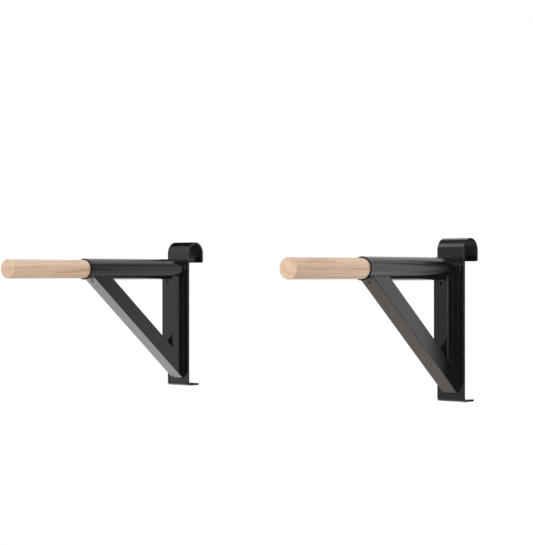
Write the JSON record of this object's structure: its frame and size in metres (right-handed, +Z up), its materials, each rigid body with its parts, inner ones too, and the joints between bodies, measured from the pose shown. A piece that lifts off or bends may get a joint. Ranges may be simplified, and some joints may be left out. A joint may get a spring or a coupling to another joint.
{
  "type": "dip bars for wall bars",
  "caption": "Separate hook-on dip bars for gymnastic wall bars: bent hook plate, steel sleeve, upright and diagonal brace, with a round wooden grip.",
  "frame": {"origin": "centre of the left bar's hook, on the axis of the rung that it hangs on", "axes": "+X along the rung from the left bar to the right bar, +Y away from the user into the wall, +Z up"},
  "size_m": [0.756, 0.523, 0.3047],
  "materials": {
    "black_powder_coat": "satin black powder coat with a fine texture over steel",
    "beech": "turned, sanded smooth and lightly oiled",
    "zinc_plated_steel": "bright zinc plate"
  },
  "bodies": {
    "left_bar": {"left_hook_plate": "black_powder_coat", "left_sleeve_tube": "black_powder_coat", "left_upright_tube": "black_powder_coat", "left_brace_tube": "black_powder_coat", "left_wooden_grip": "beech", "left_grip_screw": "zinc_plated_steel"},
    "right_bar": {"right_hook_plate": "black_powder_coat", "right_sleeve_tube": "black_powder_coat", "right_upright_tube": "black_powder_coat", "right_brace_tube": "black_powder_coat", "right_wooden_grip": "beech", "right_grip_screw": "zinc_plated_steel"}
  },
  "joints": [
    {"name": "right_bar_slide", "type": "slide", "parent": "left_bar", "child": "right_bar", "axis": [1, 0, 0], "range_m": [-0.635, 0.024]}
  ]
}
